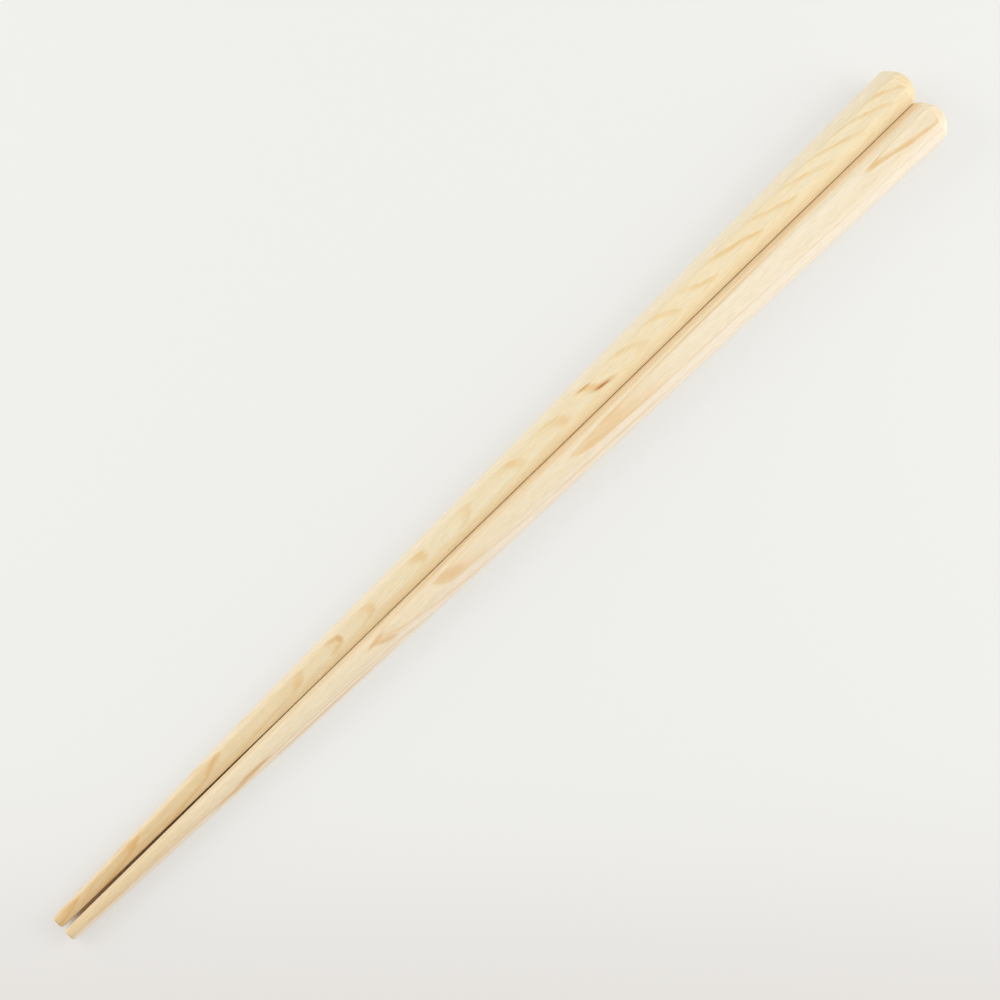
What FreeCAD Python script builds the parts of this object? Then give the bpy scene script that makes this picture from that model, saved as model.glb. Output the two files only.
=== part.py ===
import FreeCAD
import Part

import math
import os

# A pair of plain wooden chopsticks, lying side by side on a table as they do when they are put down.
# Each stick is one piece of pale, straight-grained hardwood, planed to eight sides. It is thickest at
# the butt, tapers gently along the handle, and from a soft shoulder falls away faster to a slim, blunt
# tip. The eating end is planed more on its outer side, which brings the two tips closer together. The
# long arrises between the sides are eased by hand, the butt is crowned by eight bellied bevels that
# meet in mitres, and the tip is only softened round its edge.
#
# Frame: the tips point along +X and +Z is up. The origin lies on the table, midway along the pair, on
# the line where the two sticks meet. All sizes are in millimetres.

# Lengths along the stick
stick_length = 230.0
eating_end_length = 61.0     # from the tip to the shoulder
crown_length = 2.9           # how far the bevels of the butt reach along the stick

# Widths across two opposite sides
butt_width = 8.95            # where the handle's taper would meet the butt's end, were it not crowned
shoulder_width = 5.2
tip_width = 2.5
butt_flat_width = 2.6        # the small flat that is left in the middle of the crown

# Curves
shoulder_radius = 2000.0     # blends the handle's taper into that of the eating end
arris_radius = 0.8           # easing of the long edges between the sides
tip_edge_radius = 0.5        # softening round the tip's end
crown_edge_radius = 0.4      # softening of the crown's mitres and of its border
crown_belly = 0.36           # how far the middle of a bevel stands out from a flat cut

# The two sticks beside each other
side_gap = 0.05              # what is left between them where their handles' sides meet
tip_gap = 0.75               # what is left between them at the tips

facet_pairs = 4              # opposite sides are planed in pairs: four pairs make the octagon
fillet_share = 0.8           # a radius takes at most this share of the room that it has

V = FreeCAD.Vector
CENTRE = V(0, 0, 0)
ALONG = V(1, 0, 0)
ACROSS = V(0, 1, 0)
UP = V(0, 0, 1)
MOSTLY = 0.9                 # a direction with this share along an axis counts as running that way
TOUCH = 1e-4                 # points nearer than this are the same

# A stick is made about the X axis, with the middle of its butt at zero and its tip at stick_length
shoulder_x = stick_length - eating_end_length
handle_taper = math.atan2((butt_width - shoulder_width) / 2, shoulder_x)
clear_width = 2 * max(butt_width, shoulder_width, tip_width)


def handle_half_width(x):
    """Half the width across two sides at x, on the handle or where its taper would have come to."""
    return butt_width / 2 - x * math.tan(handle_taper)


# How far the middle of the tip lies off the axis, towards the other stick
tip_lean = handle_half_width(stick_length) - (tip_gap - side_gap) / 2 - tip_width / 2


def straight_edges(points):
    """An edge from each point to the next."""
    return [Part.LineSegment(a, b).toShape() for a, b in zip(points, points[1:])]


def bellied_edge(start, end, rise):
    """An arc between two points whose middle stands out, away from the stick's axis, by the rise."""
    chord = end - start
    outward = V(-chord.y, chord.x, 0).normalize()
    if outward.y < 0:
        outward = -outward
    return Part.Arc(start, (start + end) / 2 + outward * rise, end).toShape()


def face_between(half_edges, other_half_edges):
    """The face inside two half outlines, each of them from the X axis round and back to it.

    Both are given on the +Y side, and the second one is turned over to the other side.
    """
    turned_over = [edge.mirror(CENTRE, ACROSS) for edge in other_half_edges]
    return Part.Face(Part.Wire(Part.__sortEdges__(half_edges + turned_over)))


def shaft_side(tip_to_side):
    """Half an outline of the stick: two straight tapers with a long blend between."""
    eating_taper = math.atan2(shoulder_width / 2 - tip_to_side, eating_end_length)
    turn = eating_taper - handle_taper
    reach = shoulder_radius * math.tan(abs(turn) / 2)
    shoulder = V(shoulder_x, shoulder_width / 2, 0)
    blend_start = shoulder - V(math.cos(handle_taper), -math.sin(handle_taper), 0) * reach
    blend_end = shoulder + V(math.cos(eating_taper), -math.sin(eating_taper), 0) * reach
    handle = straight_edges([CENTRE, V(0, butt_width / 2, 0), blend_start])
    blend = bellied_edge(blend_start, blend_end, reach * math.tan(turn / 4))
    eating_end = straight_edges([blend_end, V(stick_length, tip_to_side, 0), V(stick_length, 0, 0)])
    return [*handle, blend, *eating_end]


def shaft_outline(lean):
    """The stick seen square on to a pair of sides, with the middle of its tip off the axis by the lean."""
    return face_between(shaft_side(tip_width / 2 + lean), shaft_side(tip_width / 2 - lean))


def crown_outline():
    """What a pair of bevels leaves of the stick: they cut the butt and stay clear of all the rest."""
    bevel_foot = V(0, butt_flat_width / 2, 0)
    bevel_top = V(crown_length, handle_half_width(crown_length), 0)
    clear_of_side = V(crown_length, clear_width, 0)
    clear_of_tip = V(stick_length + clear_width, clear_width, 0)
    end_flat = straight_edges([CENTRE, bevel_foot])
    bevel = bellied_edge(bevel_foot, bevel_top, crown_belly)
    clear = straight_edges([bevel_top, clear_of_side, clear_of_tip, V(clear_of_tip.x, 0, 0)])
    return face_between([*end_flat, bevel, *clear], [*end_flat, bevel, *clear])


def planed(outlines):
    """The eight-sided solid that shows these outlines, each of them square on to its pair of sides."""
    slabs = []
    for pair, outline in enumerate(outlines):
        slab = outline.extrude(UP * clear_width * 2)
        slab.translate(-UP * clear_width)
        slabs.append(slab.rotated(CENTRE, ALONG, pair * 180 / facet_pairs))
    solid = slabs[0]
    for slab in slabs[1:]:
        solid = solid.common(slab)
    return solid.Solids[0]


def lengthwise_edges(solid):
    """The arrises between neighbouring sides."""
    return [e for e in solid.Edges if abs(e.tangentAt(e.FirstParameter).x) > MOSTLY]


def edges_between(solid, low_x, high_x):
    """The edges that lie wholly between two places along the stick."""
    return [
        e for e in solid.Edges
        if all(low_x - TOUCH <= v.X <= high_x + TOUCH for v in e.Vertexes)
    ]


def chopstick(side):
    """One stick about the X axis: planed, eased, crowned at the butt and softened at both ends.

    The tip leans to -Y where side is 1 and to +Y where it is -1.
    """
    eased = min(arris_radius, fillet_share * tip_width / 2)
    tip_softened = min(tip_edge_radius, fillet_share * eased)
    crown_softened = min(crown_edge_radius, fillet_share * butt_flat_width / 2)

    leans = [-side * tip_lean * math.cos(pair * math.pi / facet_pairs) for pair in range(facet_pairs)]
    stick = planed([shaft_outline(lean) for lean in leans])
    stick = stick.makeFillet(eased, lengthwise_edges(stick)).Solids[0]
    stick = stick.makeFillet(tip_softened, edges_between(stick, stick_length, stick_length)).Solids[0]
    stick = stick.common(planed([crown_outline()] * facet_pairs)).Solids[0]
    # On the eased arrises the crown's border dips forward, by less than their radius
    border_x = crown_length + eased
    return stick.makeFillet(crown_softened, edges_between(stick, 0, border_x)).Solids[0]


def laid_down(stick, side):
    """Lays a stick on the table beside the other one, at +Y where side is 1 and at -Y where it is -1.

    The handle tapers. Lying on one of its sides tilts the stick down towards the tip by that taper,
    and lying side to side with the other stick swings it inwards by as much.
    """
    taper_deg = math.degrees(handle_taper)
    to_side = butt_width / 2 * math.cos(handle_taper)
    laid = stick.rotated(CENTRE, UP, -side * taper_deg)
    laid.rotate(CENTRE, ACROSS, taper_deg)
    laid.translate(V(-stick_length / 2, side * (to_side + side_gap / 2), to_side))
    return laid


def main():
    os.makedirs("parts", exist_ok=True)
    for name, side in (("left_chopstick", 1), ("right_chopstick", -1)):
        laid_down(chopstick(side), side).exportStep(f"parts/{name}.step")


main()
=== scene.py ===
from math import atan, cos, pi, radians, sin, tan

import bmesh
import bpy
from mathutils import Matrix, Vector, noise


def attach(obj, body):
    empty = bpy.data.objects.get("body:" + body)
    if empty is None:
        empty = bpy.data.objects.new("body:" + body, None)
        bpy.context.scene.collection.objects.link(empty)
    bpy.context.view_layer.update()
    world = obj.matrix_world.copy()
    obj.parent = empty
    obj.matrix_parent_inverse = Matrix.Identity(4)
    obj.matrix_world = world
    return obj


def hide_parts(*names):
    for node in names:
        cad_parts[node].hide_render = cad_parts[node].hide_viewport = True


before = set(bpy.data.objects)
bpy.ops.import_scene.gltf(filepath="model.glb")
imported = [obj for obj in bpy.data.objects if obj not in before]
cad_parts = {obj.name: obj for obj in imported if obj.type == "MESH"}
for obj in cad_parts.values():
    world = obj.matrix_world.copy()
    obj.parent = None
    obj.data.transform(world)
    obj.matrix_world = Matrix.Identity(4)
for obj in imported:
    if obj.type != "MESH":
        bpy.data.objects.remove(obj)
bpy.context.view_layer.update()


# The left chopstick, the lower one in the picture: one piece of pale hardwood, planed to eight sides
# that taper gently down the handle and faster to the tip, with eased arrises and a crowned butt.
# It lies on one of its sides, and the inner side of its handle is against the other stick.
stick_length = 0.230
eating_end_length = 0.061
crown_length = 0.0029
butt_width = 0.00895
shoulder_width = 0.0052
tip_width = 0.0025
butt_flat_width = 0.0026
shoulder_reach = 0.011        # how far the shoulder's blend runs each way
crown_belly = 0.00036
arris_radius = 0.0008
mitre_radius = 0.00055        # of the crown's own edges, where they reach the end flat
tip_edge_radius = 0.0005
side_gap = 0.00005
tip_gap = 0.00075
sides = 8
arris_steps = 5
crown_steps = 12
tip_steps = 5
sections_apart = 0.0025       # how close the mesh's cross-sections lie along the stick
wave_depth = 0.00003          # the soft waves that hand sanding leaves, all of them inward
wave_length = 0.012
millimetre = 0.001            # the wood's own pattern is laid out in these

handle_length = stick_length - eating_end_length
handle_slope = (butt_width - shoulder_width) / 2 / handle_length
eating_slope = (shoulder_width - tip_width) / 2 / eating_end_length
handle_taper = atan(handle_slope)
tip_lean = butt_width / 2 - handle_slope * stick_length - (tip_gap - side_gap) / 2 - tip_width / 2


def past_shoulder(x):
    """How far x lies past the shoulder, growing softly from nothing over the shoulder's blend."""
    into_blend = min(max(x - handle_length + shoulder_reach, 0), 2 * shoulder_reach)
    return into_blend ** 2 / (4 * shoulder_reach) + max(x - handle_length - shoulder_reach, 0)


def half_width(x):
    """Half the width across two sides, at x from the butt."""
    return butt_width / 2 - handle_slope * x - (eating_slope - handle_slope) * past_shoulder(x)


def cross_sections():
    """Place along the stick, half width and arris radius of each cross-section, from butt to tip."""
    foot = Vector((0, butt_flat_width / 2))
    top = Vector((crown_length, half_width(crown_length)))
    outward = Vector((foot.y - top.y, top.x)).normalized()
    first = 0.5 / crown_steps
    yield 0, foot.y - first * top.x, mitre_radius
    for step in range(crown_steps):
        share = first + step / crown_steps
        place = foot.lerp(top, share) + outward * crown_belly * 4 * share * (1 - share)
        yield place.x, place.y, mitre_radius + (arris_radius - mitre_radius) * share
    start = crown_length + first * top.x
    straight = stick_length - tip_edge_radius - start
    count = round(straight / sections_apart)
    for step in range(count):
        x = start + straight * step / count
        yield x, half_width(x), arris_radius
    for step in range(tip_steps + 1):
        turn = pi / 2 * step / tip_steps
        drop = tip_edge_radius * (1 - cos(turn))
        yield stick_length - tip_edge_radius * (1 - sin(turn)), tip_width / 2 - drop, arris_radius - drop


def planed_stick(side, seed):
    """A stick about the X axis with its butt at zero: a rounded octagon, extruded from section to section.

    Its tip leans to -Y where side is 1 and to +Y where it is -1.
    """
    places = list(cross_sections())
    x, half, radius = places[0]
    corner_reach = pi / sides * 1.01      # half the angle from corner to corner, and a hair
    shape = bmesh.new()
    bmesh.ops.create_circle(
        shape, cap_ends=False, segments=sides, radius=half / cos(pi / sides),
        matrix=Matrix.Rotation(pi / 2, 4, "Y") @ Matrix.Rotation(pi / sides, 4, "Z"),
    )
    bmesh.ops.bevel(
        shape, geom=shape.verts[:], offset=radius * tan(pi / sides), segments=arris_steps,
        affect="VERTICES", profile=0.5, material=-1,
    )
    ring = shape.edges[:]
    bmesh.ops.contextual_create(shape, geom=ring)
    for next_x, next_half, next_radius in places[1:]:
        grown = bmesh.ops.extrude_edge_only(shape, edges=ring)["geom"]
        ring = [part for part in grown if isinstance(part, bmesh.types.BMEdge)]
        points = [part for part in grown if isinstance(part, bmesh.types.BMVert)]
        bmesh.ops.translate(shape, verts=points, vec=(next_x - x, 0, 0))
        for corner in range(sides):
            # each rounded corner moves out with the octagon and swells or shrinks about its own centre
            turn = 2 * pi * (corner + 0.5) / sides
            outward = Vector((0, cos(turn), sin(turn))) / cos(pi / sides)
            centre = outward * (half - radius) + Vector((next_x, 0, 0))
            rounding = [v for v in points if v.co.yz.angle(outward.yz) < corner_reach]
            bmesh.ops.scale(
                shape, verts=rounding, vec=(1, next_radius / radius, next_radius / radius),
                space=Matrix.Translation(-centre),
            )
            growth = outward * (next_half - next_radius - half + radius)
            bmesh.ops.translate(shape, verts=rounding, vec=growth)
        x, half, radius = next_x, next_half, next_radius
    bmesh.ops.contextual_create(shape, geom=ring)
    bmesh.ops.recalc_face_normals(shape, faces=shape.faces[:])
    shape.normal_update()
    for vert in shape.verts:
        wave = 0.5 + 0.5 * noise.noise(vert.co / wave_length + Vector((0, 0, seed)))
        clear_of_inner_side = min(1 + side * vert.normal.y, 1)
        vert.co -= vert.normal * wave_depth * clear_of_inner_side * min(max(wave, 0), 1)
        vert.co.y -= side * tip_lean * past_shoulder(vert.co.x) / eating_end_length
    return shape


def resting_place(side):
    """Where a stick lies, from where it was made: at +Y where side is 1 and at -Y where it is -1."""
    to_side = butt_width / 2 * cos(handle_taper)
    return (
        Matrix.Translation((-stick_length / 2, side * (to_side + side_gap / 2), to_side))
        @ Matrix.Rotation(handle_taper, 4, "Y")
        @ Matrix.Rotation(-side * handle_taper, 4, "Z")
    )


def laid_stick(name, side, seed):
    """The finished piece, on the table beside the other stick."""
    shape = planed_stick(side, seed)
    bmesh.ops.transform(shape, matrix=resting_place(side), verts=shape.verts[:])
    mesh = bpy.data.meshes.new(name)
    shape.to_mesh(mesh)
    shape.free()
    mesh.shade_smooth()
    stick = bpy.data.objects.new(name, mesh)
    bpy.context.scene.collection.objects.link(stick)
    stick.modifiers.new("flat sides", "WEIGHTED_NORMAL")
    return stick


def srgb(red, green, blue):
    """A colour that is written as it looks, from 0 to 255, as the light values that a shader takes."""
    return tuple(((c / 255 + 0.055) / 1.055) ** 2.4 for c in (red, green, blue)) + (1.0,)


def add_node(tree, kind, inputs=(), **settings):
    """A node of that kind with its settings, and each input given a value or fed by an output."""
    made = tree.nodes.new(kind)
    for name, value in settings.items():
        setattr(made, name, value)
    for key, value in dict(inputs).items():
        if isinstance(value, bpy.types.NodeSocket):
            tree.links.new(value, made.inputs[key])
        else:
            made.inputs[key].default_value = value
    return made


def calc(tree, operation, *values):
    """The result of a Math node."""
    return add_node(tree, "ShaderNodeMath", dict(enumerate(values)), operation=operation).outputs[0]


def product(tree, first, *others):
    """All the values multiplied."""
    for other in others:
        first = calc(tree, "MULTIPLY", first, other)
    return first


def between(tree, value, low, high, to_low=0.0, to_high=1.0):
    """The value, from low to high, brought to another range with soft ends."""
    inputs = {"Value": value, "From Min": low, "From Max": high, "To Min": to_low, "To Max": to_high}
    return add_node(tree, "ShaderNodeMapRange", inputs, interpolation_type="SMOOTHSTEP").outputs[0]


def along_stick(tree, x, points):
    """A smooth value through (millimetres from the butt, value) points."""
    length = stick_length / millimetre
    lowest = min(value for _, value in points)
    spread = max(value for _, value in points) - lowest or 1.0
    curve = tree.nodes.new("ShaderNodeFloatCurve")
    line = curve.mapping.curves[0]
    shares = sorted((from_butt / length, (value - lowest) / spread) for from_butt, value in points)
    line.points[0].location = shares[0]
    line.points[1].location = shares[-1]
    for share in shares[1:-1]:
        line.points.new(*share)
    curve.mapping.extend = "EXTRAPOLATED"
    curve.mapping.update()
    tree.links.new(calc(tree, "DIVIDE", x, length), curve.inputs["Value"])
    return calc(tree, "MULTIPLY_ADD", curve.outputs[0], spread, lowest)


def drawn_out(tree, place, stretch, shift):
    """Places in millimetres, pressed together along the grain so that a pattern is drawn out along it."""
    mapping = {"Vector": place, "Location": (shift, shift, shift), "Scale": (1 / stretch, 1, 1)}
    return add_node(tree, "ShaderNodeMapping", mapping).outputs[0]


def grain_noise(tree, place, stretch, scale, detail, shift):
    """Noise from about 0 to 1, drawn out along the grain."""
    drawn = drawn_out(tree, place, stretch, shift)
    inputs = {"Vector": drawn, "Scale": scale, "Detail": detail, "Roughness": 0.55}
    return add_node(tree, "ShaderNodeTexNoise", inputs).outputs["Fac"]


def tinted(tree, share, colour, other):
    """One colour laid over another by a share from 0 to 1."""
    made = add_node(tree, "ShaderNodeMix", {"Factor": share, 6: colour, 7: other}, data_type="RGBA")
    return made.outputs[2]


def shaded(tree, colour, factor):
    """A colour made darker or lighter by a factor."""
    inputs = {"Factor": 1.0, 6: colour, 7: factor}
    return add_node(tree, "ShaderNodeMix", inputs, data_type="RGBA", blend_type="MULTIPLY").outputs[2]


def marked(tree, colour, x, out, below_top, fibres, tone, strength, middle, size, lean):
    """A colour with a mark laid over it, along the grain on the top of a stick and a little broken by it.

    The middle is given from the butt and outwards from the axis, size along and across the grain, and
    lean is how far the mark goes outwards for each millimetre towards the tip.
    """
    length, width = size
    along = calc(tree, "SUBTRACT", x, middle[0])
    across = calc(tree, "SUBTRACT", out, calc(tree, "MULTIPLY_ADD", along, lean, middle[1]))
    along = calc(tree, "DIVIDE", along, length / 2)
    across = calc(tree, "DIVIDE", across, width / 2)
    squares = calc(tree, "ADD", product(tree, along, along), product(tree, across, across))
    inside = product(tree, between(tree, squares, 1.3, 0.1), between(tree, below_top, 3.0, 1.5))
    uneven = between(tree, fibres, 0.25, 0.55, strength * 0.5, strength)
    return tinted(tree, product(tree, inside, uneven), colour, tone)


# the grain's patterns: how many times each is drawn out along the stick, and how fine it is
fibre_grain = {"stretch": 14, "scale": 4.5, "detail": 3}
fine_grain = {"stretch": 24, "scale": 9, "detail": 2}
ring_wobble = {"stretch": 7, "scale": 0.45, "detail": 3}
faint_patches = {"stretch": 4, "scale": 0.4, "detail": 2}
broad_tone = {"stretch": 10, "scale": 0.12, "detail": 1}
pore_stretch = 9
pore_scale = 2.4
weakest_ring = 0.7            # next to the strongest
painted_highlight_share = 0.5             # how strong the painted highlight is on the outer side
outer_painted_shade = 0.5              # how much of the painted shade the outer side gets
# how strong the painted shade is along the stick, from the butt in millimetres: it darkens the slim end,
# where the light falls off
painted_shade_along = [(0, 0.25), (30, 0.08), (60, 0), (115, 0.2), (153, 0.4), (192, 0.66), (218, 1), (230, 1)]
no_shade = (1, 1, 1, 1)


def own_place(tree, side):
    """Where a point lies on the stick as it was made, in millimetres and with the butt at zero."""
    lies = resting_place(side)
    back_to_own = {
        "Vector": add_node(tree, "ShaderNodeTexCoord").outputs["Object"],
        "Location": lies.to_translation(), "Rotation": lies.to_euler(),
        "Scale": (millimetre, millimetre, millimetre),
    }
    return add_node(tree, "ShaderNodeMapping", back_to_own, vector_type="TEXTURE").outputs[0]


def growth_rings(tree, place, x, out, below_top, seed, count, tilt, crest, steep, blunt, per_depth, gnarl):
    """The nearest ring's number, and how many rings past it a point lies.

    count goes up from butt to tip along the line where the rings reach furthest, and crest says how far
    out of the middle that line runs. steep is how many more rings each millimetre away from it brings,
    tilt each millimetre outwards and per_depth each millimetre of depth. blunt is how round the rings'
    ends are, in millimetres, and gnarl how far they stray.
    """
    away = calc(tree, "SUBTRACT", out, along_stick(tree, x, crest))
    rings = calc(tree, "MULTIPLY_ADD", away, along_stick(tree, x, tilt), along_stick(tree, x, count))
    rounded = calc(tree, "SQRT", calc(tree, "MULTIPLY_ADD", away, away, blunt ** 2))
    rounded = calc(tree, "SUBTRACT", rounded, blunt)
    rings = calc(tree, "MULTIPLY_ADD", rounded, along_stick(tree, x, steep), rings)
    rings = calc(tree, "MULTIPLY_ADD", below_top, along_stick(tree, x, per_depth), rings)
    wobble = grain_noise(tree, place, shift=seed, **ring_wobble)
    rings = calc(tree, "ADD", rings, between(tree, wobble, 0.2, 0.8, -gnarl, gnarl))
    nearest = calc(tree, "ROUND", rings)
    return nearest, calc(tree, "SUBTRACT", rings, nearest)


def late_wood(tree, x, past_ring, width, ending, filled):
    """How warm a ring makes the wood: a line that ends sooner than it began, and some wood behind it.

    width is the line's share of a ring, ending how softly it ends, and filled how warm it is behind it.
    """
    line = between(tree, calc(tree, "DIVIDE", past_ring, along_stick(tree, x, width)), -1, -0.2)
    fill = product(tree, between(tree, past_ring, -0.45, -0.05), along_stick(tree, x, filled))
    return product(tree, calc(tree, "MAXIMUM", line, fill), between(tree, past_ring, ending, 0.0))


def wood(name, side, seed, tones, rings, late, patchy, on_facets, painted_seam_shade_by, painted_shade_inside, marks):
    """Planed hardwood in the stick's own millimetres: rings, fibres, pores and marks.

    tones are pale between the rings and warm in them, a painted highlight on the outer side, painted shade
    beside the other stick, and painted shade that darkens the slim end. rings and late are what
    growth_rings and late_wood ask for. patchy and on_facets say how strong the rings still are in faint
    patches and off the top side; the next two say how strong the painted shade beside the other stick is,
    and how much of the painted shade at the slim end the inner side gets.
    """
    material = bpy.data.materials.new(name)
    material.use_nodes = True
    tree = material.node_tree
    shader = tree.nodes["Principled BSDF"]
    place = own_place(tree, side)
    x, y, z = add_node(tree, "ShaderNodeSeparateXYZ", {"Vector": place}).outputs

    # how far out of the middle and how deep under the top side a point lies, and towards which side
    past = calc(tree, "MAXIMUM", calc(tree, "SUBTRACT", x, handle_length / millimetre), 0)
    half = calc(tree, "MULTIPLY_ADD", x, -handle_slope, butt_width / 2 / millimetre)
    half = calc(tree, "MULTIPLY_ADD", past, handle_slope - eating_slope, half)
    out = calc(tree, "MULTIPLY_ADD", past, tip_lean / eating_end_length, calc(tree, "MULTIPLY", y, side))
    below_top = calc(tree, "SUBTRACT", half, z)
    from_seam = calc(tree, "ADD", half, out)
    outward = calc(tree, "DIVIDE", out, half)
    outer_side = between(tree, outward, 0.35, 0.7)
    inner_side = between(tree, outward, -0.35, -0.75)
    still_there = along_stick(tree, x, on_facets)
    on_top = between(tree, calc(tree, "ABSOLUTE", outward), 0.3, 0.55, 1.0, still_there)

    # the rings differ in strength from one to the next, and fade in patches and between the fibres
    ring, past_ring = growth_rings(tree, place, x, out, below_top, seed, **rings)
    any_number = add_node(tree, "ShaderNodeTexWhiteNoise", {"W": calc(tree, "ADD", ring, seed)},
                          noise_dimensions="1D").outputs["Value"]
    ring_strength = between(tree, any_number, 0, 1, weakest_ring, 1.0)
    patches = grain_noise(tree, place, shift=seed + 3, **faint_patches)
    patches = between(tree, patches, 0.35, 0.65, patchy, 1.0)
    fibres = grain_noise(tree, place, shift=seed + 7, **fibre_grain)
    fine_fibres = grain_noise(tree, place, shift=seed + 11, **fine_grain)
    broken = between(tree, fibres, 0.25, 0.6, 0.7, 1.0)
    lateness = late_wood(tree, x, past_ring, **late)
    lateness = product(tree, lateness, ring_strength, patches, on_top, broken)

    # pores lie as fine dashes along the grain, most of them where the next ring begins
    cells = {"Vector": drawn_out(tree, place, pore_stretch, seed), "Scale": pore_scale, "Randomness": 1.0}
    near_pore = add_node(tree, "ShaderNodeTexVoronoi", cells).outputs["Distance"]
    pores = product(tree, between(tree, near_pore, 0.24, 0.1), between(tree, past_ring, 0.1, 0.5, 0.4, 1.0))

    # pale and warm wood with a painted highlight on its outer side, then painted shade beside the other
    # stick and at the slim end, then the pores and the single marks
    broad = grain_noise(tree, place, shift=seed + 17, **broad_tone)
    colour = tinted(tree, between(tree, broad, 0.35, 0.65, 0.0, 0.2), tones["pale"], tones["warm"])
    # painted highlight: the outer side is made paler, for light reflected from it
    colour = tinted(tree, product(tree, outer_side, painted_highlight_share), colour, tones["painted_highlight"])
    colour = tinted(tree, lateness, colour, tones["warm"])
    colour = tinted(tree, between(tree, fibres, 0.6, 0.25, 0.0, 0.28), colour, tones["warm"])
    # painted shade: the wood beside the other stick is made warmer and darker, for the shade and warm
    # bounced light between the sticks
    painted_seam_shade_share = product(tree, between(tree, from_seam, 1.7, 0.9), along_stick(tree, x, painted_seam_shade_by))
    colour = tinted(tree, painted_seam_shade_share, colour, tones["painted_seam_shade"])
    # painted shade: the wood darkens towards the slim end, where the light falls off, less on the outer
    # side and by a given share on the inner side
    painted_shade_share = product(
        tree, along_stick(tree, x, painted_shade_along),
        calc(tree, "MULTIPLY_ADD", outer_side, outer_painted_shade - 1, 1),
        calc(tree, "MULTIPLY_ADD", inner_side, painted_shade_inside - 1, 1),
    )
    colour = shaded(tree, colour, tinted(tree, painted_shade_share, no_shade, tones["painted_shade"]))
    colour = shaded(tree, colour, between(tree, fine_fibres, 0.3, 0.7, 0.945, 1.045))
    colour = shaded(tree, colour, calc(tree, "MULTIPLY_ADD", pores, -0.06, 1.0))
    for mark in marks:
        colour = marked(tree, colour, x, out, below_top, fibres, **mark)
    tree.links.new(colour, shader.inputs["Base Color"])
    tree.links.new(between(tree, fibres, 0.2, 0.8, 0.5, 0.62), shader.inputs["Roughness"])
    shader.inputs["Specular IOR Level"].default_value = 0.45

    # fibres stand up a little, and pores are sunk
    relief = calc(tree, "MULTIPLY_ADD", fine_fibres, 0.5, fibres)
    relief = calc(tree, "MULTIPLY_ADD", pores, -0.8, relief)
    bump = add_node(tree, "ShaderNodeBump", {"Strength": 0.3, "Distance": 0.00003, "Height": relief})
    tree.links.new(bump.outputs[0], shader.inputs["Normal"])
    return material


left_stick = laid_stick("left_stick", 1, seed=2)
left_stick.data.materials.append(wood(
    "pale wood with long flames", 1, seed=2,
    # the last three tones are a painted highlight, painted shade beside the other stick and painted shade
    # at the slim end
    tones={
        "pale": srgb(250, 240, 215), "warm": srgb(238, 202, 146), "painted_highlight": srgb(251, 240, 227),
        "painted_seam_shade": srgb(239, 204, 154), "painted_shade": srgb(240, 228, 208),
    },
    rings={
        "count": [(0, -0.27), (19.9, 0), (98, 1), (134, 2), (152.4, 3), (167, 3.3), (186, 3.4), (230, 3.7)],
        "tilt": [(0, -0.155), (20, -0.155), (98, -0.12), (134, -0.08), (150, 0), (230, 0)],
        "crest": [(0, -1.3), (20, -1.26), (98, -0.66), (134, -1.1), (150, -0.4), (175, 0), (230, 0)],
        "steep": [(0, 0.235), (20, 0.235), (98, 0.16), (134, 0.12), (150, 0.16), (175, 0.1), (230, 0.08)],
        "blunt": 0.2,
        "per_depth": [(0, 0.65), (230, 0.65)],
        "gnarl": 0.045,
    },
    late={
        "width": [(0, 0.1), (20, 0.1), (60, 0.13), (98, 0.16), (134, 0.16), (150, 0.18), (230, 0.2)],
        "ending": 0.035,
        "filled": [
            (0, 0.05), (30, 0.05), (66, 0.05), (74, 0.3), (84, 0.8), (98, 0.95), (106, 0.3), (112, 0.1),
            (120, 0.15), (126, 0.8), (134, 0.9), (145, 0.2), (230, 0.2),
        ],
    },
    # then how much of the painted shade at the slim end the inner side gets, and how strong the painted
    # shade beside the other stick is along it
    patchy=0.6, on_facets=[(0, 1), (230, 1)], painted_shade_inside=0.2,
    painted_seam_shade_by=[(0, 0.6), (45, 0.55), (66, 0.35), (100, 0.3), (150, 0.15), (180, 0), (230, 0)],
    marks=[
        dict(tone=srgb(224, 176, 114), strength=0.5, middle=(150.6, -0.45), size=(5, 0.9), lean=0.1),
        dict(tone=srgb(222, 174, 112), strength=0.6, middle=(148.6, 0.75), size=(5, 0.9), lean=-0.28),
        dict(tone=srgb(226, 180, 120), strength=0.4, middle=(130.8, 0), size=(7, 2), lean=-0.25),
        dict(tone=srgb(230, 188, 128), strength=0.55, middle=(59, -2.03), size=(44, 0.5), lean=0.022),
        dict(tone=srgb(222, 174, 112), strength=0.8, middle=(184, 1.4), size=(10, 0.75), lean=0),
        dict(tone=srgb(224, 178, 118), strength=0.7, middle=(189, 1.75), size=(12, 0.45), lean=-0.02),
        dict(tone=srgb(226, 180, 120), strength=0.55, middle=(166, 2.35), size=(36, 0.42), lean=-0.016),
    ],
))
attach(left_stick, "root")
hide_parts("left_chopstick")


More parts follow.
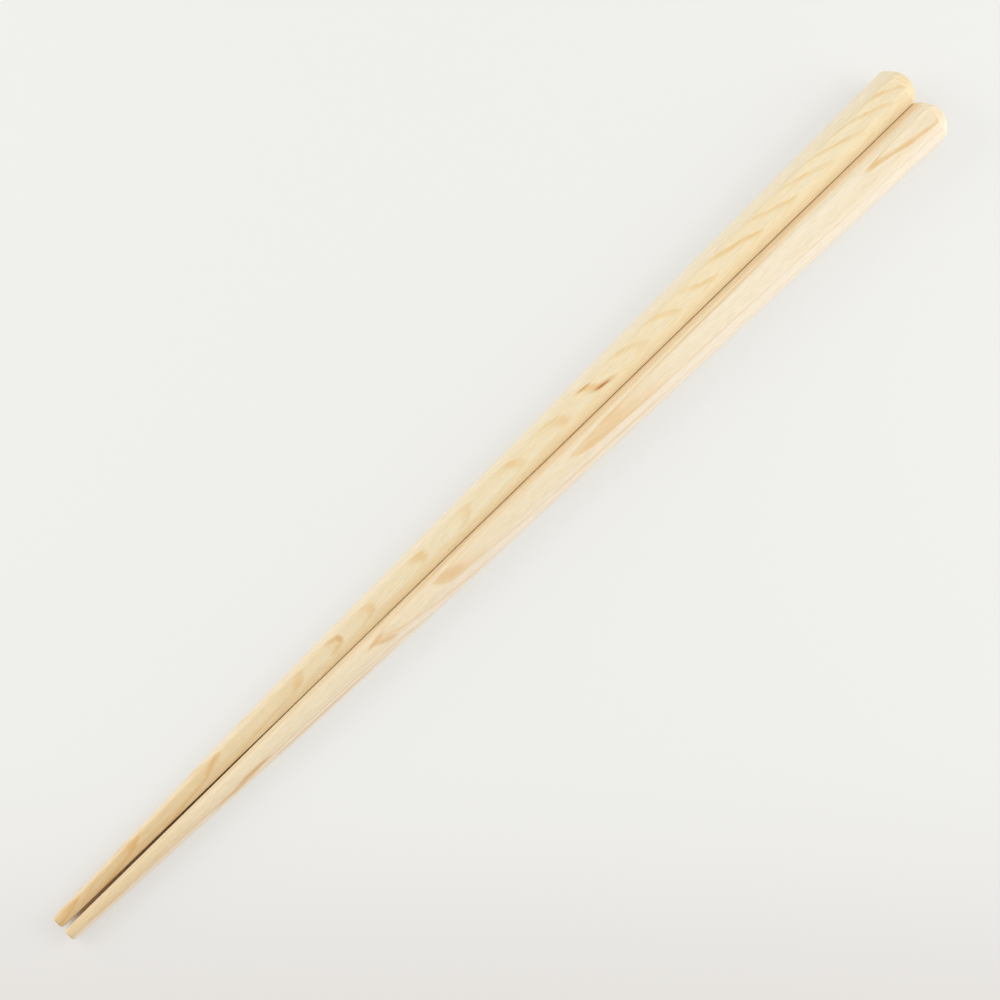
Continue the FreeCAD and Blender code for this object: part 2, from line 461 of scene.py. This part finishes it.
# The right chopstick, the upper one in the picture: the same stick, from wood a little more yellow.
# Its rings run out through the top side as a row of soft arches, with slanting bands at the slim end,
# a crescent-shaped mark before the shoulder, and a small dark knot mark with a fainter one across.
right_stick = laid_stick("right_stick", -1, seed=5)
right_stick.data.materials.append(wood(
    "pale wood with arches", -1, seed=5,
    # the last three tones are a painted highlight, painted shade beside the other stick and painted shade
    # at the slim end
    tones={
        "pale": srgb(248, 236, 203), "warm": srgb(238, 201, 137), "painted_highlight": srgb(249, 240, 220),
        "painted_seam_shade": srgb(232, 196, 138), "painted_shade": srgb(235, 220, 199),
    },
    rings={
        "count": [
            (4, 19), (10.4, 18), (18.6, 17), (27.5, 16), (37.5, 15), (45.9, 14), (58.6, 13), (66.3, 12),
            (75, 11), (86.4, 10), (94.7, 9), (106.8, 8), (119.9, 7), (132, 6), (146, 5), (154.9, 4),
            (164.3, 3), (188.2, 2), (208.6, 1), (226, 0),
        ],
        "tilt": [
            (0, 0.38), (45, 0.33), (73, 0.17), (93, 0.14), (105, 0.1), (120, -0.03), (145, 0), (165, -0.05),
            (190, -0.12), (230, -0.13),
        ],
        "crest": [(0, 0), (230, 0)],
        "steep": [(0, 0.08), (110, 0.12), (140, 0.16), (153, 0.32), (170, 0.12), (230, 0.12)],
        "blunt": 2.0,
        "per_depth": [(0, 1), (165, 1), (185, 0.4), (230, 0.2)],
        "gnarl": 0.1,
    },
    late={
        "width": [(0, 0.33), (60, 0.33), (150, 0.25), (200, 0.26), (230, 0.28)],
        "ending": 0.1,
        "filled": [(0, 0.15), (60, 0.3), (130, 0.3), (230, 0.7)],
    },
    # then how much of the painted shade at the slim end the inner side gets, and how strong the painted
    # shade beside the other stick is along it
    patchy=0.45, on_facets=[(0, 0.3), (165, 0.3), (185, 0.8), (230, 0.9)], painted_shade_inside=1.0,
    painted_seam_shade_by=[(0, 0.25), (60, 0.15), (150, 0.1), (190, 0), (230, 0)],
    marks=[
        dict(tone=srgb(222, 176, 114), strength=0.8, middle=(155, 0), size=(1.5, 2), lean=0),
        dict(tone=srgb(226, 182, 122), strength=0.55, middle=(156.4, 0.75), size=(3.4, 0.85), lean=0.16),
        dict(tone=srgb(226, 182, 122), strength=0.55, middle=(156.6, -0.9), size=(3.8, 0.75), lean=-0.1),
        dict(tone=srgb(224, 176, 114), strength=0.6, middle=(189.2, 0.1), size=(5.5, 1), lean=-0.42),
        dict(tone=srgb(226, 182, 122), strength=0.4, middle=(209.2, 0.15), size=(5.5, 0.9), lean=-0.39),
        dict(tone=srgb(226, 182, 122), strength=0.5, middle=(221.1, -0.07), size=(7.5, 0.7), lean=-0.27),
        dict(tone=srgb(216, 164, 102), strength=0.8, middle=(88.2, 1.15), size=(3.8, 0.55), lean=0.1),
        dict(tone=srgb(226, 184, 124), strength=0.7, middle=(84.9, -0.95), size=(7, 1.2), lean=0.16),
        dict(tone=srgb(188, 120, 60), strength=1, middle=(85.4, -0.98), size=(3.8, 0.55), lean=0.16),
    ],
))
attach(right_stick, "root")
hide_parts("right_chopstick")


# The table: a plain pale sheet, far larger than the sticks, so that its edge shows from no side.
# It goes a little darker towards the bottom of the picture: painted shade, where the light falls off.
table_reach = 4.0
picture_turn = radians(44.344)  # how far the sticks lie turned in the picture
picture_down = Vector((sin(picture_turn), cos(picture_turn), 0))
darker_from = 0.045           # below the picture's middle
darkest_from = 0.125
own_light_share = 0.5
gap_reach = 0.002             # how far from the line between the sticks the painted warm shade starts
gap_core = 0.0006
gap_fade = 0.005              # over which that ends, at the tips and at the butts
table_shape = bmesh.new()
bmesh.ops.create_grid(table_shape, x_segments=1, y_segments=1, size=table_reach)
table_mesh = bpy.data.meshes.new("table")
table_shape.to_mesh(table_mesh)
table_shape.free()
table = bpy.data.objects.new("table", table_mesh)
bpy.context.scene.collection.objects.link(table)
table_paper = bpy.data.materials.new("pale paper")
table_paper.use_nodes = True
paper_tree = table_paper.node_tree
paper_shader = paper_tree.nodes["Principled BSDF"]
paper_shader.inputs["Roughness"].default_value = 0.9
paper_shader.inputs["Specular IOR Level"].default_value = 0.0
spot = add_node(paper_tree, "ShaderNodeTexCoord").outputs["Object"]
# painted shade: the paper's colour and its own light darken towards the bottom of the picture
lower_down = add_node(
    paper_tree, "ShaderNodeVectorMath", {0: spot, 1: picture_down}, operation="DOT_PRODUCT",
).outputs["Value"]
lower_down = between(paper_tree, lower_down, darker_from, darkest_from)
paper_tone = tinted(paper_tree, lower_down, srgb(241, 241, 239), srgb(231, 227, 223))
own_light = add_node(paper_tree, "ShaderNodeEmission", {
    "Color": tinted(paper_tree, lower_down, srgb(240, 240, 237), srgb(226, 221, 217)),
}).outputs[0]

# half of what is seen of it is light of its own, so that the sticks' shadows stay pale, but between the
# tips there is none, and the paper there is painted a warm dark tone: painted shade, for the warm light
# that comes down there from the wood
along, across, _ = add_node(paper_tree, "ShaderNodeSeparateXYZ", {"Vector": spot}).outputs
beside_line = calc(paper_tree, "ABSOLUTE", across)
from_middle = calc(paper_tree, "ABSOLUTE", along)
in_gap = product(
    paper_tree, between(paper_tree, beside_line, gap_reach, gap_core),
    between(paper_tree, from_middle, stick_length / 2, stick_length / 2 - gap_fade),
)
# painted shade: the paper between the sticks gets a warm dark tone
paper_tone = tinted(paper_tree, in_gap, paper_tone, srgb(208, 180, 148))
paper_tree.links.new(paper_tone, paper_shader.inputs["Base Color"])
rays = add_node(paper_tree, "ShaderNodeLightPath").outputs
seen = calc(paper_tree, "ADD", rays["Is Camera Ray"], rays["Is Glossy Ray"])
seen = calc(paper_tree, "ADD", seen, rays["Is Transmission Ray"])
own_share = product(
    paper_tree, seen, calc(paper_tree, "MULTIPLY_ADD", in_gap, -own_light_share, own_light_share),
)
half_lit = {0: own_share, 1: paper_shader.outputs[0], 2: own_light}
half_lit = add_node(paper_tree, "ShaderNodeMixShader", half_lit).outputs[0]
paper_tree.links.new(half_lit, paper_tree.nodes["Material Output"].inputs["Surface"])
table_mesh.materials.append(table_paper)


# The camera looks down on the pair, tilted a little towards the bottom edge of the picture.
# The picture's turn brings the tips to the lower left and the butts to the upper right.
camera_tilt = radians(8)
camera_distance = 0.53486
aim = Vector((-0.0008, -0.0011, 0))
picture_up = -picture_down
camera_back = cos(camera_tilt) * Vector((0, 0, 1)) - sin(camera_tilt) * picture_up
camera_up = cos(camera_tilt) * picture_up + sin(camera_tilt) * Vector((0, 0, 1))
camera_right = camera_up.cross(camera_back)
camera_data = bpy.data.cameras.new("camera")
camera_data.lens = 100
camera_data.sensor_width = 36
camera = bpy.data.objects.new("camera", camera_data)
bpy.context.scene.collection.objects.link(camera)
turned = Matrix((camera_right, camera_up, camera_back)).transposed().to_4x4()
camera.matrix_world = Matrix.Translation(aim + camera_back * camera_distance) @ turned
bpy.context.scene.camera = camera


# Light: a pale room all round, and two wide soft lamps low at the left and right of the picture.
# The right lamp is the stronger and throws the butts' soft shadow to the left.
lamp_height = 0.27
lamp_size = 0.42
room_light = 0.66


def soft_lamp(name, across, up, power, tint):
    """A square lamp at a place given as the picture shows it, from its middle, aimed at the pair."""
    lamp_data = bpy.data.lights.new(name, "AREA")
    lamp_data.shape = "SQUARE"
    lamp_data.size = lamp_size
    lamp_data.energy = power
    lamp_data.color = tint
    lamp = bpy.data.objects.new(name, lamp_data)
    bpy.context.scene.collection.objects.link(lamp)
    stands = aim + camera_right * across + picture_up * up + Vector((0, 0, lamp_height))
    turn = (stands - aim).to_track_quat("Z", "Y").to_matrix().to_4x4()
    lamp.matrix_world = Matrix.Translation(stands) @ turn


soft_lamp("right lamp", across=0.5, up=0.08, power=1.4, tint=(1.0, 0.99, 0.98))
soft_lamp("left lamp", across=-0.5, up=0.1, power=1.2, tint=(1.0, 0.99, 0.97))
room = bpy.data.worlds.new("pale room")
room.use_nodes = True
room_shader = room.node_tree.nodes["Background"]
room_shader.inputs["Color"].default_value = (1.0, 0.997, 0.988, 1)
room_shader.inputs["Strength"].default_value = room_light
bpy.context.scene.world = room

bpy.context.scene.view_settings.view_transform = "Standard"
